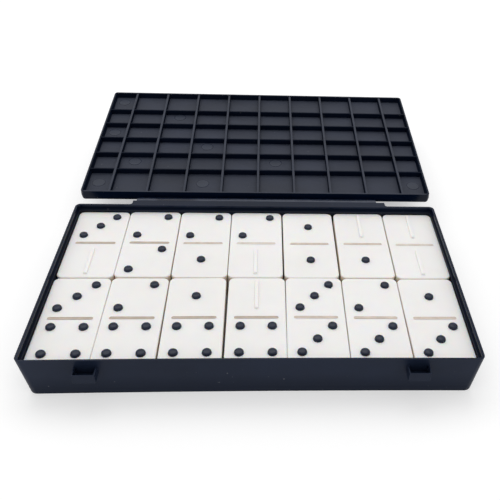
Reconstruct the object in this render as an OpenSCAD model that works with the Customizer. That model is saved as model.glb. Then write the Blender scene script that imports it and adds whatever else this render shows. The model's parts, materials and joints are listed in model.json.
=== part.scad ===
// Hinged flat storage box with a double-six set of 28 dominoes, lid open.
// Origin: centre of the tray's underside. +X right, +Y towards the hinge, +Z up, millimetres.

/* [Dominoes] */
// Width of a domino, across the columns
tile_w = 24.9; // [20:0.1:32]
// Length of a domino, front to back
tile_l = 49.5; // [46:0.1:64]
// Thickness of a domino, without the marks that stand up from its face
tile_h = 7.2; // [5:0.1:10]
// Corner radius of a domino seen from above
tile_corner = 2.6; // [1.6:0.1:4]
// Radius of the rounded edges of a domino
tile_edge = 0.8; // [0.3:0.1:1.2]

/* [Marks] */
// Height of the pips and of the plain bars above the face
mark_h = 0.8; // [0.5:0.05:1]
// Radius of the rounded upper edge of a pip or a plain bar
mark_edge = 0.25; // [0.2:0.05:0.4]
// Diameter of a pip with its enamel
pip_d = 4; // [3:0.1:4.6]
// Thickness of the black enamel on a pip
enamel_t = 0.14; // [0.1:0.01:0.16]
// Gap between the enamel and the white plastic, so that the two solids never share volume
enamel_gap = 0.02; // [0.01:0.01:0.03]
// Spacing of the pips across the domino
pip_pitch_x = 6.6; // [5.5:0.1:7.5]
// Spacing of the pips along the domino
pip_pitch_y = 7.3; // [6:0.1:7.6]
// Distance from the dividing groove to the centre of each half
half_centre = 12.8; // [11.8:0.1:13.2]

// Length of the dividing groove
divider_l = 18.7; // [14:0.1:19]
// Width of the dividing groove
divider_w = 1.2; // [0.8:0.1:1.6]
// Depth of the dividing groove
divider_depth = 0.45; // [0.2:0.05:0.8]
// Length of the plain bar that marks a blank half
blank_l = 16.3; // [10:0.1:18]
// Width of the plain bar that marks a blank half
blank_w = 1.9; // [1:0.1:2.4]

/* [Packing of the dominoes] */
// Gap between two columns of dominoes
column_gap = 0.5; // [0.3:0.1:1.2]
// Gap between the two rows of dominoes
row_gap = 1; // [0.3:0.1:2]
// Gap between the outer dominoes and the foot of the tray's walls
side_gap = 0.25; // [0.2:0.05:1]

/* [Tray] */
// Thickness of the tray's floor
floor_t = 1.5; // [1:0.1:3]
// Thickness of the tray's walls at the rim
wall_t = 1.5; // [1.4:0.1:2.5]
// Height of the rim above the upper dominoes
headroom = 3.5; // [2:0.1:8]
// How far each outer wall leans in from the rim to the underside
outer_draft = 0.6; // [0.2:0.05:0.8]
// How far each inner wall leans in from the rim to the floor
inner_draft = 0.1; // [0:0.05:0.3]
// Thickness of the front wall at the rim
front_t = 1; // [0.9:0.1:1.5]
// How much further the front wall stands out at the rim than the draft alone would put it
front_lean = 0.6; // [0:0.1:0.8]
// Corner radius of the tray at the rim, seen from above
rim_corner = 2.4; // [2:0.1:4]
// Corner radius of the tray at its foot, seen from above
foot_corner = 3.8; // [3.2:0.1:5]
// Rounding of the edge under the tray
foot_edge = 0.3; // [0.2:0.1:0.9]

/* [Catch pockets] */
// Distance between the centres of the two catch pockets
catch_span = 128; // [60:1:140]
// Outside width of a catch pocket
catch_w = 8; // [6:0.1:12]
// How far a catch pocket stands out from the rim
catch_reach = 4.4; // [4:0.1:7]
// Outside height of a catch pocket
catch_h = 4.4; // [3.5:0.1:7]
// Depth of a catch pocket's lip below the rim
catch_drop = 3; // [2:0.1:5]
// Thickness of a catch pocket's front wall and bottom
catch_t = 0.5; // [0.4:0.1:1.3]
// Thickness of a catch pocket's side walls
catch_side_t = 0.5; // [0.4:0.1:1.3]

/* [Lid] */
// Height of the lid
lid_h = 5.5; // [4.5:0.1:9]
// Thickness of the lid's plate
lid_plate = 1.4; // [1:0.1:2]
// Thickness of the lid's walls
lid_wall = 1.1; // [1:0.1:1.6]
// How far each wall of the lid leans in from the rim to the plate
lid_draft = 0.5; // [0:0.05:0.6]
// How far the lid's rim stands out beyond the tray's rim at each side
lid_flare = 0.6; // [0:0.1:0.7]
// Corner radius of the lid, seen from above
lid_corner = 1.8; // [1.4:0.1:4]
// Rounding of the edge of the lid's plate
lid_edge = 0.5; // [0.3:0.1:0.9]
// Gap between the lid's rim and the tray's rim when the lid is closed
lid_gap = 0.1; // [0.05:0.05:0.5]
// Thickness of the stiffening ribs
rib_t = 1.2; // [0.8:0.1:2]
// Depth of the ribs' edges below the lid's rim
rib_drop = 0.3; // [0.2:0.1:1.5]
// Spacing of the ribs that run from the hinge to the front
rib_pitch_x = 19.1; // [12:0.1:21]
// Spacing of the ribs that run from side to side
rib_pitch_y = 15.5; // [10:0.1:16.5]
// Diameter of the round marks that the ejector pins leave inside the lid
ejector_d = 6.4; // [4:0.1:8]
// Height of the ejector marks above the plate
ejector_h = 0.1; // [0.05:0.05:0.3]

/* [Hinge] */
// Distance from the tray's rear wall to the fold line of the hinge
hinge_reach = 5; // [4:0.1:8]
// Height of the fold line above the middle of the gap between the closed rims
fold_rise = 0.25; // [0:0.05:0.4]
// Angle through which the lid opens
open_angle = 176.6; // [100:0.1:178]
// Half of the bending length of the hinge film
film_reach = 1.8; // [1.4:0.1:2.4]
// Thickness of the hinge film
film_t = 0.45; // [0.3:0.05:0.7]
// Width of the hinge film
film_w = 122.4; // [80:0.1:130]
// Width of the flange behind the tray's rear wall
flange_w = 128.4; // [126:0.1:140]
// How far the flange sits to the right of the middle of the rear wall
flange_shift = 1.3; // [-1.5:0.1:1.5]
// Thickness of the flange
flange_t = 1.1; // [0.8:0.1:2]
// Radius of the fillets where the flange's ends meet the rear wall
flange_fillet = 1.5; // [0.5:0.1:2]
// Thickness of the lid's hinge web
web_t = 1; // [0.8:0.1:1.6]

/* [Hidden] */
$fn = 48;
columns = 7;
rows = 2;
layers = 2;
shell_fn = 64;
least_corner = 0.3;
overlap = 0.5;

// Values of each half, far half first, in the order in which the dominoes lie from left to right
upper_back = [[3, 0], [2, 2], [2, 1], [2, 0], [1, 1], [0, 1], [0, 0]];
upper_front = [[3, 4], [2, 4], [1, 4], [0, 4], [3, 3], [2, 3], [1, 3]];
lower_back = [[4, 4], [0, 5], [1, 5], [2, 5], [3, 5], [4, 5], [5, 5]];
lower_front = [[0, 6], [1, 6], [2, 6], [3, 6], [4, 6], [5, 6], [6, 6]];
// The same by layer and row: layer 0 lies on the floor, row 0 is the front row
halves = [[lower_front, lower_back], [upper_front, upper_back]];
// Centres of the ejector marks inside the lid, as [x, y] with the lid closed
ejectors = [
    [-84, 38], [-84, -12], [-84, -46], [-68, 18.5], [-48, -31],
    [-29.5, 2.5], [-29.5, 37.5], [9.5, 18], [84, 38]
];
slots = [for (k = [0:layers - 1]) for (j = [0:rows - 1]) for (i = [0:columns - 1]) [i, j, k]];

column_pitch = tile_w + column_gap;
row_pitch = tile_l + row_gap;
floor_w = columns * tile_w + (columns - 1) * column_gap + 2 * side_gap;
floor_d = rows * tile_l + (rows - 1) * row_gap + 2 * side_gap;
mouth_w = floor_w + 2 * inner_draft;
mouth_d = floor_d + 2 * inner_draft;
box_w = mouth_w + 2 * wall_t;
box_d = mouth_d + 2 * wall_t;
layer_pitch = tile_h + mark_h;
tile_top = floor_t + (layers - 1) * layer_pitch + tile_h;
box_h = tile_top + headroom;

// Fold line of the hinge
fold_y = box_d / 2 + hinge_reach;
fold_z = box_h + lid_gap / 2 + fold_rise;
lid_z = box_h + lid_gap;
// The web's ends with the lid closed: near the fold line, and inside the lid's rear wall
web_angle = open_angle - 45;
web_start = [fold_y + film_reach * cos(web_angle), fold_z + film_reach * sin(web_angle)];
web_end = [box_d / 2 - lid_draft - lid_wall / 2, lid_z + lid_h - lid_plate / 2];
lid_w = box_w + 2 * lid_flare;

// Names of the dominoes and of their pips, lower value first, as in domino_2_5
function low(v) = min(v[0], v[1]);
function high(v) = max(v[0], v[1]);
function value_at(s) = halves[s[2]][s[1]][s[0]];
function tile_name(v) = str("domino_", low(v), "_", high(v));
function pips_name(v) = str("pips_", low(v), "_", high(v));
function place(s) = [
    (s[0] - (columns - 1) / 2) * column_pitch,
    (s[1] - (rows - 1) / 2) * row_pitch,
    floor_t + s[2] * layer_pitch
];
// Pips of one half, in steps of the pip spacing from the middle of the half
function pips(n) = concat(
    n % 2 == 1 ? [[0, 0]] : [],
    n >= 2 ? [[-1, -1], [1, 1]] : [],
    n >= 4 ? [[-1, 1], [1, -1]] : [],
    n == 6 ? [[-1, 0], [1, 0]] : []
);
// A point of the closed lid, as [y, z], carried to where it lies with the lid open
function opened(p) = let (dy = p[0] - fold_y, dz = p[1] - fold_z)
    [fold_y + dy * cos(open_angle) + dz * sin(open_angle), fold_z - dy * sin(open_angle) + dz * cos(open_angle)];
function unit(v) = v / norm(v);
function side(v) = [-v[1], v[0]];
// Distance from the middle of the box to the outer face of its front wall, at height z
function front_face(z) = box_d / 2 - outer_draft + (outer_draft + front_lean) * z / box_h;

// Rectangle with round corners, seen from above
module outline(w, d, r) {
    square([w - 2 * r, d], center = true);
    square([w, d - 2 * r], center = true);
    for (x = [-1, 1], y = [-1, 1])
        translate([x * (w / 2 - r), y * (d / 2 - r)]) circle(r);
}

// Drafted block: narrow below, wide above, with a broken lower edge. The front leans out further at the rim.
module drafted(w, d, h, foot_r, rim_r, draft, edge, lean) {
    slice = 0.01;
    foot_w = w - 2 * draft;
    foot_d = d - 2 * draft;
    hull() {
        linear_extrude(slice) outline(foot_w - edge, foot_d - edge, foot_r, $fn = shell_fn);
        translate([0, 0, edge / 2])
            linear_extrude(slice) outline(foot_w, foot_d, foot_r, $fn = shell_fn);
        translate([0, -lean / 2, h - slice])
            linear_extrude(slice) outline(w, d + lean, rim_r, $fn = shell_fn);
    }
}

// One catch pocket on the front wall, open at the top
module catch_pocket() {
    lip_z = box_h - catch_drop;
    front_y = -box_d / 2 - front_lean - catch_reach;
    wall_y = -front_face(lip_z);
    root_y = front_t / 3 - front_face(lip_z - catch_h);
    difference() {
        translate([-catch_w / 2, front_y, lip_z - catch_h]) cube([catch_w, root_y - front_y, catch_h]);
        translate([catch_side_t - catch_w / 2, front_y + catch_t, lip_z - catch_h + catch_t])
            cube([catch_w - 2 * catch_side_t, wall_y - front_y - catch_t, catch_h]);
    }
}

// Flange behind the rear wall that carries the hinge film, with a fillet at each end
module hinge_flange() {
    root_y = box_d / 2 - outer_draft - overlap;
    wall_y = box_d / 2 - outer_draft * flange_t / box_h;
    end_y = fold_y - film_reach;
    translate([flange_shift, 0, box_h - flange_t]) linear_extrude(flange_t) {
        translate([-flange_w / 2, root_y]) square([flange_w, end_y - root_y]);
        for (end = [0, 1]) mirror([end, 0]) translate([flange_w / 2, wall_y]) difference() {
            translate([-overlap, -overlap]) square(flange_fillet + overlap);
            translate([flange_fillet, flange_fillet]) circle(flange_fillet);
        }
    }
}

module tray() {
    color([0.12, 0.12, 0.15]) {
        difference() {
            drafted(box_w, box_d, box_h, foot_corner, rim_corner, outer_draft, foot_edge, front_lean);
            translate([0, 0, floor_t]) drafted(
                mouth_w, mouth_d, box_h - floor_t + overlap, foot_corner - wall_t, rim_corner - front_t,
                inner_draft, foot_edge / 2, front_lean + wall_t - front_t
            );
        }
        for (x = [-1, 1]) translate([x * catch_span / 2, 0, 0]) catch_pocket();
        hinge_flange();
    }
}

// Grid of ribs under the lid's plate, drawn with the lid closed
module lid_ribs() {
    rib_z = lid_z + rib_drop;
    rib_h = lid_h - lid_plate - rib_drop + overlap;
    inset = lid_draft + lid_wall / 3;
    length_x = lid_w - 2 * inset;
    length_y = box_d - 2 * inset;
    for (i = [-4:4])
        translate([i * rib_pitch_x - rib_t / 2, -length_y / 2, rib_z]) cube([rib_t, length_y, rib_h]);
    for (j = [-2:2])
        translate([-length_x / 2, j * rib_pitch_y - rib_t / 2, rib_z]) cube([length_x, rib_t, rib_h]);
}

// Round marks of the ejector pins on the plate, drawn with the lid closed
module ejector_marks() {
    for (p = ejectors)
        translate([p[0], p[1], lid_z + lid_h - lid_plate - ejector_h]) cylinder(h = ejector_h + overlap, d = ejector_d);
}

// Plate that joins the hinge film to the lid's rear wall, drawn with the lid closed
module hinge_web() {
    half = side(unit(web_end - web_start)) * web_t / 2;
    rotate([90, 0, 90]) linear_extrude(film_w, center = true)
        polygon([web_start + half, web_end + half, web_end - half, web_start - half]);
}

module closed_lid() {
    inner_r = max(lid_corner - lid_wall, least_corner);
    difference() {
        translate([0, 0, lid_z + lid_h]) mirror([0, 0, 1])
            drafted(lid_w, box_d, lid_h, lid_corner, lid_corner, lid_draft, lid_edge, 0);
        translate([0, 0, lid_z + lid_h - lid_plate]) mirror([0, 0, 1]) drafted(
            lid_w - 2 * lid_wall, box_d - 2 * lid_wall, lid_h - lid_plate + overlap,
            inner_r, inner_r, lid_draft, 0, 0
        );
    }
    lid_ribs();
    ejector_marks();
    hinge_web();
}

module lid() {
    color([0.12, 0.12, 0.15])
        translate([0, fold_y, fold_z]) rotate([-open_angle, 0, 0]) translate([0, -fold_y, -fold_z]) closed_lid();
}

// Thin strip that bends, from the tray's flange over the fold line to the lid's web
module hinge_film() {
    steps = 10;
    start = [fold_y - film_reach, box_h - film_t / 2];
    end = opened(web_start);
    run = unit(opened(web_end) - end);
    crest = end + run * (start[1] - end[1]) / run[1];
    function at(t) = pow(1 - t, 2) * start + 2 * t * (1 - t) * crest + t * t * end;
    function edge(t) = side(unit((1 - t) * (crest - start) + t * (end - crest))) * film_t / 2;
    color([0.2, 0.2, 0.23]) rotate([90, 0, 90]) linear_extrude(film_w, center = true) polygon(concat(
        [for (i = [0:steps]) at(i / steps) + edge(i / steps)],
        [for (i = [steps:-1:0]) at(i / steps) - edge(i / steps)]
    ));
}

// Plain domino with round corners and rounded edges, resting on z = 0
module plain_domino() {
    translate([0, 0, tile_h / 2]) {
        rotate([90, 0, 0]) linear_extrude(tile_l - 2 * tile_corner, center = true) outline(tile_w, tile_h, tile_edge);
        rotate([90, 0, 90]) linear_extrude(tile_w - 2 * tile_corner, center = true) outline(tile_l, tile_h, tile_edge);
        for (x = [-1, 1], y = [-1, 1])
            translate([x * (tile_w / 2 - tile_corner), y * (tile_l / 2 - tile_corner), 0]) rotate_extrude()
                intersection() {
                    outline(2 * tile_corner, tile_h, tile_edge);
                    translate([0, -tile_h / 2]) square([tile_corner, tile_h]);
                }
    }
}

// Dividing groove with round ends, centred, cut down from the face
module divider() {
    translate([0, 0, tile_h - divider_depth]) linear_extrude(divider_depth + overlap) {
        square([divider_l - divider_w, divider_w], center = true);
        for (x = [-1, 1]) translate([x * (divider_l - divider_w) / 2, 0]) circle(divider_w / 2);
    }
}

// Section of a mark that stands up from the face, rooted below it, with rounded upper edges
module mark_section(w, h, edge) {
    translate([0, (h - overlap) / 2]) outline(w, h + overlap, edge);
}

// Round peg that stands up from the face
module peg(d, h, edge) {
    rotate_extrude() intersection() {
        mark_section(d, h, edge);
        translate([0, -overlap]) square([d, h + overlap]);
    }
}

// Plain bar on a blank half, along the domino, with round ends
module blank_bar() {
    rotate([90, 0, 0]) linear_extrude(blank_l - blank_w, center = true) mark_section(blank_w, mark_h, mark_edge);
    for (y = [-1, 1]) translate([0, y * (blank_l - blank_w) / 2, 0]) peg(blank_w, mark_h, mark_edge);
}

// Puts its child at the place of every pip of a domino
module at_pips(v) {
    for (half = [0, 1], p = pips(v[half]))
        translate([p[0] * pip_pitch_x, p[1] * pip_pitch_y + (1 - 2 * half) * half_centre, tile_h]) children();
}

module domino(s) {
    v = value_at(s);
    color([0.95, 0.94, 0.92]) translate(place(s)) {
        difference() {
            plain_domino();
            divider();
        }
        at_pips(v) peg(pip_d - 2 * enamel_t, mark_h - enamel_t, mark_edge - enamel_t / 2);
        for (half = [0, 1])
            if (v[half] == 0) translate([0, (1 - 2 * half) * half_centre, tile_h]) blank_bar();
    }
}

// Black enamel over the pegs of one domino
module enamel(s) {
    core_d = pip_d - 2 * (enamel_t - enamel_gap);
    core_h = mark_h - enamel_t + enamel_gap;
    color([0.06, 0.06, 0.08]) translate(place(s)) at_pips(value_at(s)) rotate_extrude() intersection() {
        difference() {
            mark_section(pip_d, mark_h, mark_edge);
            mark_section(core_d, core_h, mark_edge - enamel_t / 2 + enamel_gap);
        }
        translate([0, enamel_gap]) square([pip_d, mark_h]);
    }
}

tray();
lid();
hinge_film();
for (s = slots) domino(s);
for (s = slots) enamel(s);
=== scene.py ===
import json
import math
import random

import bmesh
import bpy
from mathutils import Matrix, Vector


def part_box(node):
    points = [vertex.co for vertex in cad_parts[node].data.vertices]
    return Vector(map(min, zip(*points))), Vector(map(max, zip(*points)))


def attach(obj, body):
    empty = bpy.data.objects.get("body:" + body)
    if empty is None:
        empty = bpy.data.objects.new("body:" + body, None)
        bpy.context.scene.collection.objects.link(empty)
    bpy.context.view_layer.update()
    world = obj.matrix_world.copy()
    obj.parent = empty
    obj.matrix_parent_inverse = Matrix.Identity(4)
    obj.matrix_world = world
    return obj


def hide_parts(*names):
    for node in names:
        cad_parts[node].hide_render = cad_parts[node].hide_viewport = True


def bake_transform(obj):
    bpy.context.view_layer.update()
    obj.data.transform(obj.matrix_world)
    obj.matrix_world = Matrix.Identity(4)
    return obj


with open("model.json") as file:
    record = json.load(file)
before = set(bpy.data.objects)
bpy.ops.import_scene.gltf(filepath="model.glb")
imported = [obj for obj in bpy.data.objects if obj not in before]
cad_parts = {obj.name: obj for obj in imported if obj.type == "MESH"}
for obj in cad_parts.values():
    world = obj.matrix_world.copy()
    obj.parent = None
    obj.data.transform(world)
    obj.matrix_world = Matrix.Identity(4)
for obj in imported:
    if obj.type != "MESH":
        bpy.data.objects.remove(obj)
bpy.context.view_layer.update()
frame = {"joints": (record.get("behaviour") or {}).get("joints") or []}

# Tray
# The tray is the lower half of the box: one shell of black polypropylene with thin walls that lean out
# towards the rim. The front wall leans furthest and bows in a little at its middle, as thin mouldings do.
mm = 0.001
slack = 0.01 * mm
hairline = 0.001 * mm
tray_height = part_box("tray")[1].z
tray_width = 181 * mm
tray_depth = 103.7 * mm
tray_wall = 1.2 * mm
tray_lean = 0.6 * mm
tray_rim_corner = 2.4 * mm
tray_foot_corner = 3.6 * mm
tray_foot_edge = 0.2 * mm
tray_rim_edge = 0.14 * mm
tray_floor_edge = 0.2 * mm
front_wall = 0.85 * mm
front_lean = 0.75 * mm
front_side = -50.8 * mm
front_bow = 0.5 * mm
bow_end = 87 * mm
bow_step = 15.5 * mm
foot_reach = 0.45 * mm
foot_narrows = 0.5 * mm
# Between these heights the foot of the outside is darkened as painted shade
foot_shade_low = 1 * mm
foot_shade_high = 11 * mm
# In millimetres, how far each ring inside the rim goes down, and how far its side walls, its rear wall and
# its front wall move out: the lip, the undercut, the ledge under it and the wall down to the floor
inner_rings = [
    (0.8, 0, 0, -0.1),
    (1.3, 0.25, 0.3, -0.05),
    (0.6, -0.6, -0.6, -0.05),
    (16.0, 0, 0, -1.2),
]


def block(size, centre):
    mesh = bmesh.new()
    bmesh.ops.create_cube(mesh, size=1.0)
    bmesh.ops.scale(mesh, vec=size, verts=mesh.verts)
    bmesh.ops.translate(mesh, vec=centre, verts=mesh.verts)
    return mesh


def between(edge, low, high):
    return all(low <= v.co.z <= high for v in edge.verts)


def upright_edges(mesh, height):
    return [e for e in mesh.edges if abs(e.verts[0].co.z - e.verts[1].co.z) > height / 2]


def round_edges(mesh, edges, radius, segments, clamp=False):
    bmesh.ops.bevel(
        mesh,
        geom=edges,
        offset=radius,
        segments=segments,
        profile=0.5,
        affect="EDGES",
        material=-1,
        clamp_overlap=clamp,
    )


def cut(mesh, faces, point, across):
    """Cuts some faces of a mesh along a plane."""
    parts = {*faces, *(e for f in faces for e in f.edges), *(v for f in faces for v in f.verts)}
    bmesh.ops.bisect_plane(mesh, geom=list(parts), dist=1e-7, plane_co=point, plane_no=across)


def moulded_shell(width, depth, height, rim_corner, foot_corner, wall, lean, foot_edge, front_lean):
    """Open shell, mouth up, standing on z = 0. Returns the mesh and the face inside its rim."""
    shell = block((width, depth, height), (0, 0, height / 2))
    round_edges(shell, upright_edges(shell, height), rim_corner, segments=9)
    for v in shell.verts:
        if v.co.z > height / 2:
            v.co.y -= front_lean if v.co.y < 0 else 0
            continue
        middle = Vector((math.copysign(width / 2, v.co.x), math.copysign(depth / 2, v.co.y)))
        outward = Vector((math.copysign(1, v.co.x), math.copysign(1, v.co.y)))
        offset = v.co.xy - middle + outward * rim_corner
        v.co.xy = middle - outward * (lean + foot_corner) + offset * foot_corner / rim_corner
    under = min(shell.faces, key=lambda f: f.calc_center_median().z)
    round_edges(shell, list(under.edges), foot_edge, segments=3)
    mouth = max(shell.faces, key=lambda f: f.calc_center_median().z)
    bmesh.ops.inset_region(shell, faces=[mouth], thickness=wall, use_even_offset=True)
    return shell, mouth


def next_ring(shell, mouth, down, sides, rear, front):
    """Sinks the face inside the rim and moves its four sides outwards, or inwards where negative."""
    bmesh.ops.inset_region(
        shell, faces=[mouth], thickness=hairline, depth=-down * mm, use_even_offset=True
    )
    for v in mouth.verts:
        v.co.x += (sides if v.co.x > 0 else -sides) * mm
        v.co.y += (rear if v.co.y > 0 else -front) * mm


def soften_rim(shell, height, radius):
    """Rounds both edges of the rim."""
    rim = [
        e
        for e in shell.edges
        if between(e, height - slack, height + slack) and any(abs(f.normal.z) < 0.5 for f in e.link_faces)
    ]
    round_edges(shell, rim, radius, segments=3)


tray, mouth = moulded_shell(
    tray_width,
    tray_depth,
    tray_height,
    rim_corner=tray_rim_corner,
    foot_corner=tray_foot_corner,
    wall=tray_wall,
    lean=tray_lean,
    foot_edge=tray_foot_edge,
    front_lean=front_lean,
)
for v in tray.verts:
    if v.co.z < tray_height / 2:
        v.co.x -= math.copysign(foot_narrows, v.co.x)
        v.co.y -= foot_reach if v.co.y < 0 else 0
for v in mouth.verts:
    v.co.y -= tray_wall - front_wall if v.co.y < 0 else 0
for ring in inner_rings:
    next_ring(tray, mouth, *ring)
round_edges(tray, list(mouth.edges), tray_floor_edge, segments=3)
tray.normal_update()
soften_rim(tray, tray_height, tray_rim_edge)

# Cuts across the walls give the front one the places where it bends
for step in range(-5, 6):
    cut(tray, tray.faces, (step * bow_step, 0, 0), (1, 0, 0))
for v in tray.verts:
    if v.co.y < front_side:
        v.co.y += max(0, 1 - (v.co.x / bow_end) ** 2) * front_bow
tray.normal_update()


def new_material(name):
    material = bpy.data.materials.new(name)
    material.use_nodes = True
    tree = material.node_tree
    return material, tree, tree.nodes["Principled BSDF"]


def noise_node(tree, scale, detail=2.0, roughness=0.5, stretch=None):
    """Noise on the object's own coordinates. scale is the number of features in a metre."""
    place = tree.nodes.new("ShaderNodeTexCoord").outputs["Object"]
    if stretch:
        mapping = tree.nodes.new("ShaderNodeMapping")
        mapping.inputs["Scale"].default_value = stretch
        tree.links.new(place, mapping.inputs["Vector"])
        place = mapping.outputs["Vector"]
    texture = tree.nodes.new("ShaderNodeTexNoise")
    texture.inputs["Scale"].default_value = scale
    texture.inputs["Detail"].default_value = detail
    texture.inputs["Roughness"].default_value = roughness
    tree.links.new(place, texture.inputs["Vector"])
    return texture.outputs["Fac"]


def axis_node(tree, axis):
    """How far a place lies along one axis of the object, in metres."""
    place = tree.nodes.new("ShaderNodeSeparateXYZ")
    tree.links.new(tree.nodes.new("ShaderNodeTexCoord").outputs["Object"], place.inputs[0])
    return place.outputs[axis]


def ramp_node(tree, source, stops):
    """Colour ramp with (position, colour) stops."""
    ramp = tree.nodes.new("ShaderNodeValToRGB")
    ends = ramp.color_ramp.elements
    while len(ends) < len(stops):
        ends.new(0.5)
    for end, (position, colour) in zip(ends, stops):
        end.position = position
        end.color = (*colour, 1.0)
    tree.links.new(source, ramp.inputs["Fac"])
    return ramp.outputs["Color"]


def range_node(tree, source, low, high, out_low, out_high):
    """Carries source from one range to another and clamps it."""
    node = tree.nodes.new("ShaderNodeMapRange")
    for socket, value in zip(node.inputs[1:5], (low, high, out_low, out_high)):
        socket.default_value = value
    tree.links.new(source, node.inputs["Value"])
    return node.outputs["Result"]


def mix_node(tree, share, first, second):
    """Mixes two colours, each a socket or a fixed colour: all of the second where share is 1."""
    node = tree.nodes.new("ShaderNodeMix")
    node.data_type = "RGBA"
    tree.links.new(share, node.inputs["Factor"])
    for name, colour in (("A", first), ("B", second)):
        if isinstance(colour, tuple):
            node.inputs[name].default_value = (*colour, 1.0)
        else:
            tree.links.new(colour, node.inputs[name])
    return node.outputs["Result"]


def set_surface(tree, surface, colour, roughness, height, bump, shine):
    """Links the colour and the roughness, and raises the surface by up to bump where height is 1."""
    relief = tree.nodes.new("ShaderNodeBump")
    relief.inputs["Distance"].default_value = bump
    tree.links.new(height, relief.inputs["Height"])
    tree.links.new(relief.outputs["Normal"], surface.inputs["Normal"])
    tree.links.new(colour, surface.inputs["Base Color"])
    tree.links.new(roughness, surface.inputs["Roughness"])
    surface.inputs["Specular IOR Level"].default_value = shine


def black_polypropylene(name, roughness, grain, tone, shine, foot_shade=None):
    """Cold, slightly navy black with faint flow marks, a fine grain and a few specks of dust.
    An optional colour for the foot of the outside paints shade there: darker than tone towards the bottom."""
    material, tree, surface = new_material(name)
    flow = noise_node(tree, scale=26.0, detail=4.0, roughness=0.6, stretch=(1.0, 2.2, 1.0))
    fine = noise_node(tree, scale=2600.0, detail=3.0, roughness=0.6)
    specks = noise_node(tree, scale=900.0, detail=0.0)
    darker = tuple(0.8 * c for c in tone)
    lighter = tuple(1.25 * c for c in tone)
    colour = ramp_node(tree, flow, [(0.3, darker), (0.7, lighter)])
    if foot_shade:
        above_foot = range_node(tree, axis_node(tree, "Z"), foot_shade_low, foot_shade_high, 0, 1)
        colour = mix_node(tree, above_foot, foot_shade, colour)
    dust = range_node(tree, specks, 0.86, 0.9, 0, 0.3)
    colour = mix_node(tree, dust, colour, (0.3, 0.3, 0.32))
    gloss = range_node(tree, flow, 0.3, 0.7, *roughness)
    set_surface(tree, surface, colour, gloss, fine, bump=grain, shine=shine)
    return material


black_plastic = black_polypropylene(
    "black_plastic", roughness=(0.15, 0.22), grain=0.003 * mm, tone=(0.0015, 0.006, 0.02), shine=0.155
)
# The outside, with painted shade darkening it towards its foot
satin_plastic = black_polypropylene(
    "satin_plastic",
    roughness=(0.36, 0.44),
    grain=0.006 * mm,
    tone=(0.011, 0.017, 0.035),
    shine=0.1,
    foot_shade=(0.0015, 0.006, 0.02),
)
# Painted light: the inner wall is made lighter than the black plastic, for the light the white dominoes
# throw on it
inner_lit_plastic = black_polypropylene(
    "inner_lit_plastic", roughness=(0.4, 0.5), grain=0.006 * mm, tone=(0.014, 0.018, 0.03), shine=0.16
)
# Painted shade: a darker, duller copy of the black plastic for the undercut and the shaded faces of the
# lid's ribs
shaded_plastic = black_polypropylene(
    "shaded_plastic", roughness=(0.5, 0.6), grain=0.006 * mm, tone=(0.0015, 0.004, 0.012), shine=0.05
)
tray_plastics = [black_plastic, satin_plastic, inner_lit_plastic, shaded_plastic]

# The outside is satin, with painted shade towards its foot. The inner wall is a lighter plastic, painted
# light for the light the white dominoes throw on it. The undercut is a darker, duller plastic, painted
# shade, and the rest is glossy.
outside_x = 89.7 * mm
outside_y = 51.0 * mm
floor_top = 2 * mm
inner_wall_top = tray_height - 2.65 * mm
undercut_foot = tray_height - 2.5 * mm
undercut_top = tray_height - 0.9 * mm
for f in tray.faces:
    middle = f.calc_center_median()
    outside = abs(middle.x) > outside_x or abs(middle.y) > outside_y
    if outside and middle.x * f.normal.x + middle.y * f.normal.y > 0:
        f.material_index = tray_plastics.index(satin_plastic)
    elif not outside and floor_top < middle.z < inner_wall_top:
        f.material_index = tray_plastics.index(inner_lit_plastic)
    elif undercut_foot < middle.z < undercut_top:
        f.material_index = tray_plastics.index(shaded_plastic)


def shade(piece):
    """Smooth faces, kept flat where they are flat, with the true corners left sharp."""
    piece.data.shade_smooth()
    piece.data.set_sharp_from_angle(angle=math.radians(40))
    normals = piece.modifiers.new("flat_faces", "WEIGHTED_NORMAL")
    normals.keep_sharp = True
    normals.weight = 100


def new_piece(name, mesh, materials, body=None):
    """Turns a finished bmesh into an object of the part, riding on a body."""
    data = bpy.data.meshes.new(name)
    bmesh.ops.recalc_face_normals(mesh, faces=mesh.faces)
    mesh.to_mesh(data)
    mesh.free()
    for material in materials:
        data.materials.append(material)
    piece = bpy.data.objects.new(name, data)
    bpy.context.scene.collection.objects.link(piece)
    shade(piece)
    if body:
        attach(piece, body)
    return piece


tray_shell = new_piece("tray_shell", tray, tray_plastics, "tray")
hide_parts("tray")

# Catch pockets
# Two thin-walled pockets stand out from the front wall, open at the top, where the thumbs pull the box
# open. They are moulded with the tray.
pocket_span = 128.7 * mm
pocket_width = 8.7 * mm
pocket_height = 4.4 * mm
pocket_top = tray_height - 3.4 * mm
pocket_wall = 0.42 * mm
pocket_edge = 0.1 * mm
pocket_front = -56.85 * mm
pocket_root = -51.6 * mm
pocket_middle = (pocket_root + pocket_front) / 2
wall_face = -52.3 * mm
mould_draft = 0.02 * mm

for side, label in ((-1, "left"), (1, "right")):
    pocket = block(
        (pocket_width, pocket_root - pocket_front, pocket_height),
        (side * pocket_span / 2, pocket_middle, pocket_top - pocket_height / 2),
    )
    lip = max(pocket.faces, key=lambda f: f.calc_center_median().z)
    bmesh.ops.inset_region(pocket, faces=[lip], thickness=pocket_wall, use_even_offset=True)
    for v in lip.verts:
        if v.co.y > pocket_middle:
            v.co.y = wall_face
    bmesh.ops.inset_region(
        pocket, faces=[lip], thickness=mould_draft, depth=pocket_wall - pocket_height, use_even_offset=True
    )
    outer = [e for e in pocket.edges if all(v.co.y < wall_face - pocket_edge for v in e.verts)]
    round_edges(pocket, outer, pocket_edge, segments=2)
    new_piece(f"catch_pocket_{label}", pocket, [satin_plastic], "tray")

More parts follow.
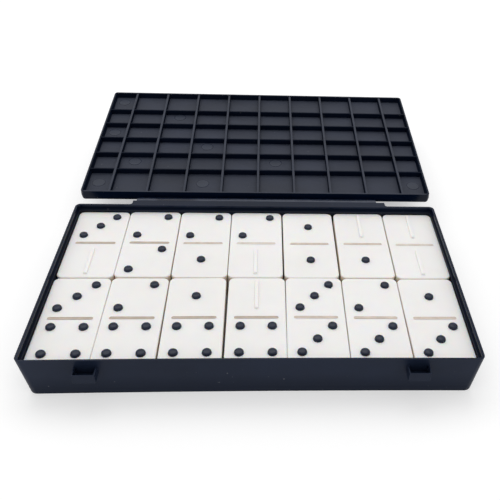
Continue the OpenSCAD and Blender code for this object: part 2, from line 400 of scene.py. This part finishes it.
# Hinge flange
# A ledge stands behind the rear wall at the height of the rim and meets it in a fillet at each end. It is
# moulded with the tray and thins at its far edge to the film that bends.
film_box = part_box("hinge_film")
film_width = film_box[1].x - film_box[0].x
flange_left = -62.9 * mm
flange_right = 65.5 * mm
flange_thickness = 1.1 * mm
flange_fillet = 1.4 * mm
flange_edge = 0.12 * mm
flange_root = 0.8 * mm
flange_top = tray_height - 0.03 * mm
flange_end = film_box[0].y + 0.05 * mm
rear_face = tray_depth / 2 - 0.04 * mm


def draw_out(mesh, faces, way):
    """Extrudes faces along a vector. The old faces stay."""
    drawn = bmesh.ops.extrude_face_region(mesh, geom=faces)
    verts = [v for v in drawn["geom"] if isinstance(v, bmesh.types.BMVert)]
    bmesh.ops.translate(mesh, vec=way, verts=verts)


flange_middle = (flange_left + flange_right) / 2
flange = block(
    (flange_right - flange_left + 4 * flange_fillet, flange_root, flange_thickness),
    (flange_middle, rear_face - flange_root / 2, flange_top - flange_thickness / 2),
)
for end in (flange_left, flange_right):
    cut(flange, flange.faces, (end, 0, 0), (1, 0, 0))
flange.normal_update()
ledge = [
    f for f in flange.faces if f.normal.y > 0.9 and flange_left < f.calc_center_median().x < flange_right
]
draw_out(flange, ledge, (0, flange_end - rear_face, 0))
bmesh.ops.delete(flange, geom=ledge, context="FACES_ONLY")
flange.normal_update()
roots = [
    e
    for e in upright_edges(flange, flange_thickness)
    if all(abs(v.co.y - rear_face) < slack for v in e.verts)
    and min(abs(e.verts[0].co.x - end) for end in (flange_left, flange_right)) < slack
]
round_edges(flange, roots, flange_fillet, segments=6)
outer = [e for e in flange.edges if all(v.co.y > rear_face + slack for v in e.verts)]
round_edges(flange, outer, flange_edge, segments=2)
new_piece("hinge_flange", flange, [black_plastic], "tray")

# Lid
# The lid is a shallow shell of the same plastic, lying open behind the tray with its inside up. A grid of
# nine by five stiffening ribs stands just below its rim, and the floor between them is finely textured.
hinge = next(j for j in frame["joints"] if j["name"] == "lid_hinge")
fold = Vector(hinge["pos_m"])
open_turn = math.radians(hinge["range_deg"][0])
lid_height = 5.5 * mm
lid_plate = 2.4 * mm
lid_width = tray_width + 0.2 * mm
lid_wall = 0.9 * mm
lid_lean = 0.3 * mm
lid_corner = 1.8 * mm
lid_foot_edge = 0.7 * mm
lid_rim_edge = 0.22 * mm
lid_gap = 0.1 * mm
lid_swell = 0.5 * mm
swell_level = lid_height - 2.8 * mm
foot_level = 2 * mm
foot_swell = 0.8 * lid_swell
rib_thickness = 1.2 * mm
cross_rib = 0.9 * mm
rib_drop = 0.3 * mm
rib_pitch_x = 19.1 * mm
rib_pitch_y = 15.5 * mm
last_rib = 4
last_cross_rib = 2
rib_lean = 0.1 * mm
rib_edge = 0.14 * mm
grid_end_x = 88.5 * mm
grid_end_y = 48.5 * mm
wall_slope = 0.4 * mm
lid_top = tray_height + lid_gap + lid_height
rib_level = lid_height - rib_drop

# Carries the lid from mouth up on z = 0 to closed on the tray, and then open about the fold line
lid_closed = Matrix.Translation((0, 0, lid_top)) @ Matrix.Rotation(math.pi, 4, "X")
lid_turned = Matrix.Translation(fold) @ Matrix.Rotation(open_turn, 4, "X") @ Matrix.Translation(-fold)
lid_place = lid_turned @ lid_closed

lid, mouth = moulded_shell(
    lid_width,
    tray_depth,
    lid_height,
    rim_corner=lid_corner,
    foot_corner=lid_corner,
    wall=lid_wall,
    lean=lid_lean,
    foot_edge=lid_foot_edge,
    front_lean=0,
)
# The sides swell out to their widest below the rim
cut(lid, lid.faces, (0, 0, swell_level), (0, 0, 1))
for v in lid.verts:
    if abs(v.co.z - swell_level) < slack:
        v.co.x += math.copysign(lid_swell, v.co.x)
    elif v.co.z < foot_level:
        v.co.x += math.copysign(foot_swell, v.co.x)
bmesh.ops.inset_region(lid, faces=[mouth], thickness=mould_draft, depth=-rib_drop, use_even_offset=True)


def faces_at(mesh, height):
    return [f for f in mesh.faces if abs(f.calc_center_median().z - height) < slack]


def on_rib(place, pitch, thickness, last):
    """True where a place across the grid lies on one of its ribs."""
    nearest = round(place / pitch)
    return abs(place - nearest * pitch) < thickness / 2 and abs(nearest) <= last


def on_long_rib(face):
    return on_rib(face.calc_center_median().x, rib_pitch_x, rib_thickness, last_rib)


def on_cross_rib(face):
    return on_rib(face.calc_center_median().y, rib_pitch_y, cross_rib, last_cross_rib)


for across, pitch, thickness, last in (
    (Vector((1, 0, 0)), rib_pitch_x, rib_thickness, last_rib),
    (Vector((0, 1, 0)), rib_pitch_y, cross_rib, last_cross_rib),
):
    for number in range(-last, last + 1):
        for edge_side in (-0.5, 0.5):
            rib_side = number * pitch + edge_side * thickness
            cut(lid, faces_at(lid, rib_level), across * rib_side, across)
cells = [f for f in faces_at(lid, rib_level) if not on_long_rib(f) and not on_cross_rib(f)]
bmesh.ops.inset_individual(
    lid, faces=cells, thickness=rib_lean, depth=lid_plate - rib_level, use_even_offset=True
)
# Inside, the walls slope in to the floor
for v in {v for f in cells for v in f.verts}:
    v.co.x -= math.copysign(wall_slope, v.co.x) if abs(v.co.x) > grid_end_x else 0
    v.co.y -= math.copysign(wall_slope, v.co.y) if abs(v.co.y) > grid_end_y else 0

matt_plastic = black_polypropylene(
    "matt_plastic", roughness=(0.55, 0.65), grain=0.01 * mm, tone=(0.028, 0.033, 0.05), shine=0.2
)
# The floor, the long ribs' tops and most of the rim are matt. The cross ribs' tops and the sides of all
# ribs get painted shade: a darker, duller copy of the plastic. The rest, such as the inside of the front
# and rear walls, is glossy.
lid_plastics = [black_plastic, matt_plastic, shaded_plastic]
glossy_rim = 88 * mm
side_wall = 89.9 * mm
end_wall = 51 * mm
for f in lid.faces:
    middle = f.calc_center_median()
    rib_top = abs(middle.z - rib_level) < slack
    cell_floor = abs(middle.z - lid_plate) < slack
    rim = middle.z > lid_height - slack and abs(middle.x) < glossy_rim
    plastic = matt_plastic if rib_top or cell_floor or rim else black_plastic
    if rib_top and on_cross_rib(f) and not on_long_rib(f):
        plastic = shaded_plastic
    if lid_plate + slack < middle.z < rib_level - slack and abs(middle.x) < side_wall:
        plastic = shaded_plastic if abs(middle.y) < end_wall else black_plastic
    f.material_index = lid_plastics.index(plastic)
lid.normal_update()
soften_rim(lid, lid_height, lid_rim_edge)
rib_edges = [
    e
    for e in lid.edges
    if between(e, rib_level - slack, rib_level + slack)
    and {abs(f.normal.z) > 0.5 for f in e.link_faces} == {True, False}
]
floor_edges = list({e for f in cells for e in f.edges})
round_edges(lid, rib_edges + floor_edges, rib_edge, segments=2, clamp=True)
bmesh.ops.transform(lid, matrix=lid_place, verts=lid.verts)
lid_shell = new_piece("lid_shell", lid, lid_plastics, "lid")
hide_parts("lid")

# Ejector marks
# Where the pins pushed the lid out of its mould they left round pads that stand a hair above the floor,
# each in a thin dark ring.
pad_depth = 0.4 * mm
pad_edge = 0.03 * mm
pad_radius = 3.2 * mm
pad_rise = 0.1 * mm
ring_radius = 3.42 * mm
ring_rise = 0.05 * mm
lid_floor = lid_top - lid_plate
# In millimetres to the right and backwards of the middle of the closed lid
pad_places = [
    (-84, 40),
    (-84, -9.5),
    (-84, -44.5),
    (-68, 20),
    (-48, -27.5),
    (-29.5, 4.5),
    (-29.5, 40),
    (9.5, 20),
    (84, 40),
]

marks = bmesh.new()
for x, y in pad_places:
    for radius, rise, plastic in ((pad_radius, pad_rise, 0), (ring_radius, ring_rise, 1)):
        centre = Vector((x * mm, y * mm, lid_floor + pad_depth / 2 - rise))
        disc = bmesh.ops.create_cone(
            marks,
            cap_ends=True,
            segments=48,
            radius1=radius,
            radius2=radius,
            depth=pad_depth,
            matrix=Matrix.Translation(centre),
        )
        for f in {f for v in disc["verts"] for f in v.link_faces}:
            f.material_index = plastic
rims = [e for e in marks.edges if between(e, 0, lid_floor)]
round_edges(marks, rims, pad_edge, segments=2)
bmesh.ops.transform(marks, matrix=lid_turned, verts=marks.verts)
pad_plastic = black_polypropylene(
    "pad_plastic", roughness=(0.42, 0.5), grain=0.006 * mm, tone=(0.031, 0.037, 0.055), shine=0.2
)
new_piece("ejector_marks", marks, [pad_plastic, black_plastic], "lid")

# Hinge web
# A thin plate runs from the film down to the lid's rear wall. It is moulded with the lid.
film_reach = 1.8 * mm
web_thickness = 1.0 * mm
web_edge = 0.12 * mm
web_inset = 1.05 * mm
web_drop = 0.7 * mm
web_angle = -open_turn - math.radians(45)
web_start = fold + film_reach * Vector((0, math.cos(web_angle), math.sin(web_angle)))
web_end = Vector((0, tray_depth / 2 - web_inset, lid_top - web_drop))
run = (web_end - web_start).normalized()
lean_out = Vector((0, -run.z, run.y))

web = bmesh.new()
bmesh.ops.create_grid(web, x_segments=1, y_segments=1, size=0.5)
for v in web.verts:
    line = web_start if v.co.y < 0 else web_end
    v.co = Vector((v.co.x * film_width, 0, 0)) + line - lean_out * web_thickness / 2
draw_out(web, web.faces[:], lean_out * web_thickness)
round_edges(web, web.edges[:], web_edge, segments=2)
bmesh.ops.transform(web, matrix=lid_turned, verts=web.verts)
new_piece("hinge_web", web, [black_plastic], "lid")

# Hinge film
# The film is the thinnest part of the moulding. It bends at its crest each time the lid is opened, which
# leaves pale streaks of stress along it; the pale streaks are partly a painted highlight along the crest.
# One stretch on the left has no streaks and stays dark.
film_thickness = 0.45 * mm
film_start = Vector((0, fold.y - film_reach, tray_height - film_thickness / 2))
film_end = lid_turned @ web_start
film_run = (lid_turned @ web_end - film_end).normalized()
crest = film_end + film_run * (film_start.z - film_end.z) / film_run.z


def along_film(t):
    return film_start.lerp(crest, t).lerp(crest.lerp(film_end, t), t)


def math_node(tree, operation, first, second):
    """One step of arithmetic on a socket and a socket or number."""
    node = tree.nodes.new("ShaderNodeMath")
    node.operation = operation
    tree.links.new(first, node.inputs[0])
    if isinstance(second, float):
        node.inputs[1].default_value = second
    else:
        tree.links.new(second, node.inputs[1])
    return node.outputs[0]


def stressed_film_and_highlight():
    material, tree, surface = new_material("hinge_film")
    streaks = noise_node(tree, scale=60.0, detail=4.0, roughness=0.7, stretch=(1.0, 14.0, 14.0))
    # Pale streaks: partly stress whitening, partly a painted highlight along the crest
    pale = ramp_node(
        tree,
        streaks,
        [(0.35, (0.012, 0.016, 0.032)), (0.55, (0.034, 0.041, 0.064)), (0.75, (0.07, 0.08, 0.11))],
    )
    across = axis_node(tree, "X")
    begin = range_node(tree, across, -52 * mm, -50 * mm, 0, 1)
    end = range_node(tree, across, -34 * mm, -30 * mm, 1, 0)
    without_streaks = math_node(tree, "MULTIPLY", begin, end)
    colour = mix_node(tree, without_streaks, pale, (0.003, 0.006, 0.018))
    roughness = range_node(tree, streaks, 0.4, 0.7, 0.2, 0.42)
    set_surface(tree, surface, colour, roughness, streaks, bump=0.03 * mm, shine=0.2)
    return material


film = bmesh.new()
bmesh.ops.create_grid(film, x_segments=48, y_segments=14, size=0.5)
for v in film.verts:
    v.co = Vector((v.co.x * film_width, 0, 0)) + along_film(v.co.y + 0.5)
film.normal_update()
bmesh.ops.solidify(film, geom=film.faces[:], thickness=film_thickness)
bmesh.ops.translate(film, vec=(0, 0, film_thickness / 2), verts=film.verts)
hinge_strip = new_piece("hinge_strip", film, [stressed_film_and_highlight()])
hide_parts("hinge_film")
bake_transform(hinge_strip)

# Dominoes
# Each of the 28 dominoes is one moulding of white plastic with round corners and rounded edges. Pegs for
# the pips and a plain bar on each blank half stand up from its face, and a tan groove runs across it.
tile_width = 24.95 * mm
tile_length = 50.0 * mm
tile_height = 7.05 * mm
tile_corner = 2.6 * mm
tile_edge = 0.6 * mm
mark_height = 0.95 * mm
face_mark_height = 1.25 * mm
layer_pitch = 8 * mm
box_floor = 1.5 * mm
pip_pitch_x = 6.6 * mm
pip_pitch_y = 7.3 * mm
half_centre = 12.8 * mm
pip_radius = 1.94 * mm
coat_thickness = 0.06 * mm
groove_length = 18.7 * mm
groove_width = 1.6 * mm
groove_depth = 0.25 * mm
groove_middle = -0.25 * mm
blank_length = 16.2 * mm
blank_width = 1.9 * mm
slot_inset = 0.2 * mm
ring_steps = 24

upper_back = [(3, 0), (2, 2), (2, 1), (2, 0), (1, 1), (0, 1), (0, 0)]
upper_front = [(3, 4), (2, 4), (1, 4), (0, 4), (3, 3), (2, 3), (1, 3)]
lower_back = [(4, 4), (0, 5), (1, 5), (2, 5), (3, 5), (4, 5), (5, 5)]
lower_front = [(0, 6), (1, 6), (2, 6), (3, 6), (4, 6), (5, 6), (6, 6)]


def tile_plastic():
    """White plastic, with painted shade down the sides: darker and warmer below the top edge."""
    material, tree, surface = new_material("white_plastic")
    clouds = noise_node(tree, scale=30.0, detail=3.0, roughness=0.6)
    fine = noise_node(tree, scale=1800.0, detail=3.0, roughness=0.6)
    face = ramp_node(tree, clouds, [(0.35, (0.85, 0.835, 0.82)), (0.65, (0.885, 0.872, 0.858))])
    # Painted shade: the sides are darker and warmer than the face, as the white plastic looks in shade
    side = ramp_node(tree, clouds, [(0.35, (0.76, 0.68, 0.58)), (0.65, (0.82, 0.75, 0.66))])
    above_floor = math_node(tree, "SUBTRACT", axis_node(tree, "Z"), box_floor)
    above_foot = math_node(tree, "MODULO", above_floor, layer_pitch)
    top_not_shaded = range_node(tree, above_foot, tile_height - 0.9 * mm, tile_height - 0.15 * mm, 0, 1)
    colour = mix_node(tree, top_not_shaded, side, face)
    roughness = range_node(tree, clouds, 0.3, 0.7, 0.34, 0.46)
    set_surface(tree, surface, colour, roughness, fine, bump=0.006 * mm, shine=0.35)
    surface.inputs["Subsurface Weight"].default_value = 0.6
    surface.inputs["Subsurface Radius"].default_value = (1.0, 0.7, 0.45)
    surface.inputs["Subsurface Scale"].default_value = 1.6 * mm
    return material


def groove_tint(name, tone):
    """The white plastic coloured tan in the groove."""
    material, tree, surface = new_material(name)
    patches = noise_node(tree, scale=240.0, detail=3.0, roughness=0.6)
    pale = tuple(min(1.2 * c, 0.8) for c in tone)
    colour = ramp_node(tree, patches, [(0.35, tone), (0.65, pale)])
    roughness = range_node(tree, patches, 0.3, 0.7, 0.5, 0.65)
    set_surface(tree, surface, colour, roughness, patches, bump=0.01 * mm, shine=0.2)
    return material


def pip_enamel():
    material, tree, surface = new_material("pip_enamel")
    brush = noise_node(tree, scale=900.0)
    colour = ramp_node(tree, brush, [(0.3, (0.009, 0.014, 0.03)), (0.7, (0.014, 0.02, 0.042))])
    roughness = range_node(tree, brush, 0.3, 0.7, 0.13, 0.21)
    set_surface(tree, surface, colour, roughness, brush, bump=0.01 * mm, shine=0.21)
    return material


white_plastic = tile_plastic()
groove_tints = [
    groove_tint("groove_tint_weak", (0.7, 0.61, 0.55)),
    groove_tint("groove_tint_middle", (0.62, 0.53, 0.46)),
    groove_tint("groove_tint_strong", (0.5, 0.42, 0.35)),
]
enamel = pip_enamel()


def pip_places(value):
    """Where the pips of one half lie, in steps of their pitch."""
    places = [(0, 0)] if value % 2 else []
    if value >= 2:
        places += [(-1, -1), (1, 1)]
    if value >= 4:
        places += [(-1, 1), (1, -1)]
    if value == 6:
        places += [(-1, 0), (1, 0)]
    return places


def pips_of(values):
    """Centres of the pips of one domino, measured from its middle."""
    return [
        Vector((px * pip_pitch_x, py * pip_pitch_y + half_side * half_centre, 0))
        for value, half_side in zip(values, (1, -1))
        for px, py in pip_places(value)
    ]


def cut_top(tile, across, offsets):
    """Cuts the flat top of a tile into cells along parallel planes."""
    for offset in offsets:
        cut(tile, [f for f in tile.faces if f.normal.z > 0.99], Vector(across) * offset, across)


def face_over(tile, x_range, y_range):
    """The face of the flat top over a rectangle, joined from its cells."""
    cells = [
        f
        for f in tile.faces
        if f.normal.z > 0.99
        and x_range[0] < f.calc_center_median().x < x_range[1]
        and y_range[0] < f.calc_center_median().y < y_range[1]
    ]
    if len(cells) > 1:
        return bmesh.ops.dissolve_faces(tile, faces=cells)["region"][0]
    return cells[0]


def peg_profile(radius, height):
    """Radius and rise of a peg with a steep side and a domed top."""
    return [
        (radius + 0.07 * mm, 0.0),
        (radius, 0.06 * mm),
        (radius - 0.01 * mm, 0.4 * height),
        (radius - 0.09 * mm, 0.64 * height),
        (radius - 0.27 * mm, 0.82 * height),
        (radius - 0.6 * mm, 0.93 * height),
        (0.4 * radius, 0.985 * height),
        (0.15 * radius, height),
    ]


def raise_peg(tile, face, centre, height):
    """Turns one cell of the top into a round peg."""
    bmesh.ops.inset_individual(tile, faces=[face], thickness=slot_inset, use_even_offset=True)
    bmesh.ops.subdivide_edges(tile, edges=list(face.edges), cuts=ring_steps // 4 - 1)
    ring = [loop.vert for loop in face.loops]
    offset = ring[0].co.xy - centre.xy
    start = math.atan2(offset.y, offset.x)
    for step, (r, rise) in enumerate(peg_profile(pip_radius - coat_thickness, height - coat_thickness)):
        if step:
            bmesh.ops.inset_individual(tile, faces=[face], thickness=mould_draft, use_even_offset=True)
            inner = [loop.vert for loop in face.loops]
            ring = [min(inner, key=lambda v: (v.co - outer.co).length) for outer in ring]
        for number, vert in enumerate(ring):
            turn = start + 2 * math.pi * number / len(ring)
            vert.co = (centre.x + r * math.cos(turn), centre.y + r * math.sin(turn), tile_height + rise)


def round_ended(tile, face, middle, along, length, width):
    """Shapes one cell of the top into a slot outline. along is its axis: 0 for X, 1 for Y."""
    across = 1 - along
    straight = (length - width) / 2
    bmesh.ops.inset_individual(tile, faces=[face], thickness=slot_inset, use_even_offset=True)
    reach = max(abs(v.co[along] - middle[along]) for v in face.verts)
    ends = [
        e
        for e in face.edges
        if all(abs(abs(v.co[along] - middle[along]) - reach) < hairline for v in e.verts)
    ]
    corners = {v for e in ends for v in e.verts}
    for vert in face.verts:
        side = math.copysign(width / 2, vert.co[across] - middle[across])
        vert.co[across] = middle[across] + side
        if vert in corners:
            vert.co[along] = middle[along] + math.copysign(straight, vert.co[along] - middle[along])
    for end in ends:
        bmesh.ops.subdivide_edges(tile, edges=[end], cuts=5)
    for vert in face.verts:
        off = (vert.co[across] - middle[across]) / (width / 2)
        if vert not in corners and abs(off) < 0.99:
            turn = off * math.pi / 2
            out = math.copysign(straight + math.cos(turn) * width / 2, vert.co[along] - middle[along])
            vert.co[along] = middle[along] + out
            vert.co[across] = middle[across] + math.sin(turn) * width / 2


def raise_bar(tile, face, middle_y):
    """The plain bar of a blank half. Each step goes further in, by millimetres, and up, by shares."""
    round_ended(tile, face, Vector((0, middle_y)), 1, blank_length, blank_width)
    for inward, share in ((0.05, 0.1), (0.04, 0.45), (0.06, 0.22), (0.1, 0.15), (0.16, 0.08)):
        bmesh.ops.inset_individual(
            tile, faces=[face], thickness=inward * mm, depth=share * mark_height, use_even_offset=True
        )


def sink_groove(tile, face):
    """The groove across the middle, with its tan faces in the second material."""
    round_ended(tile, face, Vector((0, groove_middle)), 0, groove_length, groove_width)
    face.material_index = 1
    for inward, share in ((0.06, 0.15), (0.1, 0.45), (0.12, 0.28), (0.14, 0.12)):
        sides = bmesh.ops.inset_individual(
            tile, faces=[face], thickness=inward * mm, depth=-share * groove_depth, use_even_offset=True
        )
        for f in sides["faces"]:
            f.material_index = 1


def plain_tile():
    """A domino without marks, standing on z = 0 with its middle at the origin."""
    tile = block((tile_width, tile_length, tile_height), (0, 0, tile_height / 2))
    round_edges(tile, upright_edges(tile, tile_height), tile_corner, segments=8)
    tile.normal_update()
    flat = [f for f in tile.faces if abs(f.normal.z) > 0.99]
    round_edges(tile, list({e for f in flat for e in f.edges}), tile_edge, segments=4)
    tile.normal_update()
    return tile


def domino_mesh(values, height):
    """A domino with its marks, each made from the cell of the top that it covers."""
    tile = plain_tile()
    half_pip_x = pip_pitch_x / 2
    half_pip_y = pip_pitch_y / 2
    groove_x = 9.6 * mm
    groove_y = 0.9 * mm
    bar_end = 23 * mm
    near_pip = 1.5 * mm
    cut_top(tile, (1, 0, 0), (-groove_x, -half_pip_x, half_pip_x, groove_x))
    rows = (groove_y, half_centre - half_pip_y, half_centre + half_pip_y, bar_end)
    cut_top(tile, (0, 1, 0), [sign * row for row in rows for sign in (-1, 1)])
    tile.normal_update()
    middle = face_over(tile, (-groove_x, groove_x), (-groove_y, groove_y))
    blanks = [
        (half * half_centre, face_over(tile, (-half_pip_x, half_pip_x), reach))
        for half, value, reach in zip((1, -1), values, ((groove_y, bar_end), (-bar_end, -groove_y)))
        if not value
    ]
    pips = [
        (
            centre,
            face_over(
                tile,
                (centre.x - near_pip, centre.x + near_pip),
                (centre.y - near_pip, centre.y + near_pip),
            ),
        )
        for centre in pips_of(values)
    ]
    sink_groove(tile, middle)
    for middle_y, face in blanks:
        raise_bar(tile, face, middle_y)
    for centre, face in pips:
        raise_peg(tile, face, centre, height)
    return tile


def pip_paint(values, height, rng):
    """Gloss enamel over the pegs of one domino: a thin cap for each, spun about the peg's axis."""
    paint = bmesh.new()
    for centre in pips_of(values):
        grow = rng.uniform(-0.01, 0.02) * mm
        outside = [(0.0, height)] + peg_profile(pip_radius + grow, height)[::-1]
        inside = [(max(r - 2 * coat_thickness, 0), rise - 2 * coat_thickness) for r, rise in outside]
        profile = [(r, tile_height + rise) for r, rise in outside + inside[::-1]]
        verts = [paint.verts.new((r, 0, z)) for r, z in profile]
        edges = [paint.edges.new(pair) for pair in zip(verts, verts[1:])]
        bmesh.ops.spin(
            paint,
            geom=verts + edges,
            cent=(0, 0, 0),
            axis=(0, 0, 1),
            angle=2 * math.pi,
            steps=ring_steps,
            use_merge=True,
        )
        new = [v for v in paint.verts if not v.tag]
        slip = Vector((rng.uniform(-0.03, 0.03), rng.uniform(-0.03, 0.03), 0)) * mm
        bmesh.ops.translate(paint, vec=centre + slip, verts=new)
        for v in new:
            v.tag = True
    bmesh.ops.remove_doubles(paint, verts=paint.verts, dist=1e-7)
    return paint


def add_drop(paint, centre):
    """A drop of enamel that ran from one pip."""
    drop = bmesh.ops.create_uvsphere(paint, u_segments=16, v_segments=10, radius=0.5 * mm)
    bmesh.ops.scale(paint, vec=(1, 1.2, 0.5), verts=drop["verts"])
    beside = centre + Vector((0.7 * mm, -1.75 * mm, tile_height))
    bmesh.ops.translate(paint, vec=beside, verts=drop["verts"])


# How the visible dominoes lie: the shift to the right and the shift backwards in millimetres, the turn in
# degrees, and how dark the tan of the groove is, from 0 for pale to 2 for dark
back_lie = [
    (0.14, -0.35, 0.1, 2),
    (-0.14, 0.05, -0.05, 2),
    (-0.22, -0.1, 0.06, 1),
    (-0.41, 0.0, -0.05, 0),
    (-0.22, -0.2, 0.08, 1),
    (0.24, -0.1, -0.1, 1),
    (0.22, -0.55, 0.05, 0),
]
front_lie = [
    (0.12, -0.45, 0.15, 2),
    (-0.22, -0.2, 0.0, 2),
    (-0.14, 0.0, 0.45, 2),
    (0.4, 0.05, 0.05, 2),
    (0.12, 0.1, -0.3, 1),
    (-0.05, -0.25, -0.4, 1),
    (-0.1, -0.55, 0.0, 1),
]
rng = random.Random(28)
for row, lies in (
    (upper_back, back_lie),
    (upper_front, front_lie),
    (lower_back, None),
    (lower_front, None),
):
    height = face_mark_height if lies else mark_height
    for column, values in enumerate(row):
        label = f"{min(values)}_{max(values)}"
        node = f"domino_{label}"
        low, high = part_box(node)
        loose = (rng.uniform(-0.1, 0.1), rng.uniform(-0.1, 0.1), rng.uniform(-0.05, 0.05), rng.randrange(3))
        right, back, turn, tint = lies[column] if lies else loose
        middle = Vector(((low.x + high.x) / 2 + right * mm, (low.y + high.y) / 2 + back * mm, low.z))
        place = Matrix.Translation(middle) @ Matrix.Rotation(math.radians(turn), 4, "Z")
        tile = domino_mesh(values, height)
        bmesh.ops.transform(tile, matrix=place, verts=tile.verts)
        piece = new_piece(f"tile_{label}", tile, [white_plastic, groove_tints[tint]], node)
        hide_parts(node)
        if max(values):
            paint = pip_paint(values, height, rng)
            if values == (3, 3):
                add_drop(paint, pips_of(values)[2])
            bmesh.ops.transform(paint, matrix=place, verts=paint.verts)
            coat = new_piece(f"enamel_{label}", paint, [enamel], node)
            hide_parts(f"pips_{label}")

# Studio
# A pale table, a white surround and one large soft light high behind the box, where a ceiling light hangs.
table = bmesh.new()
bmesh.ops.create_circle(table, cap_ends=True, segments=96, radius=6.0)
data = bpy.data.meshes.new("table")
table.to_mesh(data)
table.free()
floor = bpy.data.objects.new("table", data)
floor.location.z = -2 * slack
bpy.context.scene.collection.objects.link(floor)


def seen_rays(tree):
    """1 for what the camera sees, straight or in a gloss or through glass."""
    path = tree.nodes.new("ShaderNodeLightPath")
    total = path.outputs["Is Camera Ray"]
    for ray in ("Is Glossy Ray", "Is Transmission Ray"):
        total = math_node(tree, "MAXIMUM", total, path.outputs[ray])
    return total


material, tree, surface = new_material("pale_table")
surface.inputs["Base Color"].default_value = (0.66, 0.66, 0.66, 1.0)
surface.inputs["Roughness"].default_value = 0.9
surface.inputs["Specular IOR Level"].default_value = 0.0
surface.inputs["Emission Color"].default_value = (1.0, 1.0, 1.0, 1.0)
lift = math_node(tree, "MULTIPLY", seen_rays(tree), 0.42)
tree.links.new(lift, surface.inputs["Emission Strength"])
floor.data.materials.append(material)

world = bpy.data.worlds.new("surround")
world.use_nodes = True
bpy.context.scene.world = world
tree = world.node_tree
background = tree.nodes["Background"]
background.inputs["Color"].default_value = (1.0, 1.0, 1.0, 1.0)
strength = range_node(tree, seen_rays(tree), 0, 1, 0.77, 1)
tree.links.new(strength, background.inputs["Strength"])

lamp_data = bpy.data.lights.new("ceiling", "AREA")
lamp_data.shape = "RECTANGLE"
lamp_data.size = 0.8
lamp_data.size_y = 0.5
lamp_data.energy = 2.0
lamp = bpy.data.objects.new("ceiling", lamp_data)
lamp.location = (-0.06, 0.38, 0.76)
aim = Vector((0, 0.02, 0)) - lamp.location
lamp.rotation_mode = "QUATERNION"
lamp.rotation_quaternion = aim.to_track_quat("-Z", "Y")
bpy.context.scene.collection.objects.link(lamp)

# Camera
# It stands in front of the box and looks down at about forty degrees.
camera_data = bpy.data.cameras.new("camera")
camera_data.sensor_width = 36.0
camera_data.lens = 45.785
camera_data.shift_x = -0.1044
camera_data.shift_y = 0.034
camera = bpy.data.objects.new("camera", camera_data)
camera_place = Vector((4.16 * mm, -216.4 * mm, 204.55 * mm))
forward = Vector((0.0576, 0.7644, -0.6421)).normalized()
right = Vector((0.9983, -0.0418, 0.0397))
right = (right - forward * right.dot(forward)).normalized()
upward = right.cross(forward)
turn = Matrix((right, upward, -forward)).transposed()
camera.matrix_world = Matrix.Translation(camera_place) @ turn.to_4x4()
bpy.context.scene.collection.objects.link(camera)
bpy.context.scene.camera = camera
bpy.context.scene.view_settings.view_transform = "Standard"
